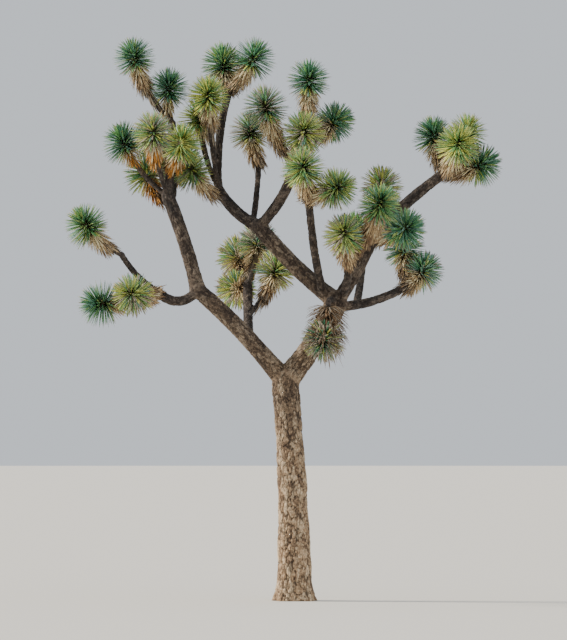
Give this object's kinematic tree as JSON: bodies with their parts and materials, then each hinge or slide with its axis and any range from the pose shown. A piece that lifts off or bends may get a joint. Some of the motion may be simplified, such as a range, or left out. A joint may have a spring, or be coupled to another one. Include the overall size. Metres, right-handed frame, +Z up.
{
  "type": "joshua tree",
  "caption": "Rooted desert tree with one trunk that forks at head height into crooked boughs, each ending in stiff tufts of dagger leaves above sleeves of dead leaves.",
  "frame": {"origin": "the middle of the flat cut under the trunk, at ground level", "axes": "+Z up; +X the tree's right side and +Y its far side, as it is seen from the front"},
  "size_m": [3.8834, 2.5823, 5.1],
  "materials": {
    "bark": "rough fissured bark, matt",
    "foliage": "stiff grey-green leaves with a faint waxy sheen, straw-brown dead leaves below"
  },
  "bodies": {
    "root": {"trunk": "bark", "left_bough": "bark", "right_bough": "bark", "left_riser": "bark", "left_low_limb": "bark", "left_tip_limb": "bark", "inner_limb": "bark", "cross_limb": "bark", "right_reach": "bark", "right_low_limb": "bark", "droop_limb": "bark", "crown_limb": "bark", "centre_limb": "bark", "centre_left_limb": "bark", "front_riser": "bark", "top_limb": "bark", "centre_right_limb": "bark", "far_reach": "bark", "front_bough": "bark", "back_bough": "bark", "left_spire": "bark", "back_left_limb": "bark", "far_left_mass": "foliage", "low_left_mass": "foliage", "shoulder_mass": "foliage", "shoulder_low_mass": "foliage", "shoulder_front_mass": "foliage", "spire_mass": "foliage", "spire_front_mass": "foliage", "crown_left_mass": "foliage", "crown_low_mass": "foliage", "top_mass": "foliage", "centre_mass": "foliage", "centre_left_mass": "foliage", "centre_right_mass": "foliage", "front_riser_mass": "foliage", "front_mass": "foliage", "inside_right_mass": "foliage", "behind_right_mass": "foliage", "far_right_mass": "foliage", "low_right_mass": "foliage", "droop_mass": "foliage", "back_mass": "foliage", "back_left_mass": "foliage", "inner_mass": "foliage", "inner_right_mass": "foliage"}
  },
  "joints": []
}
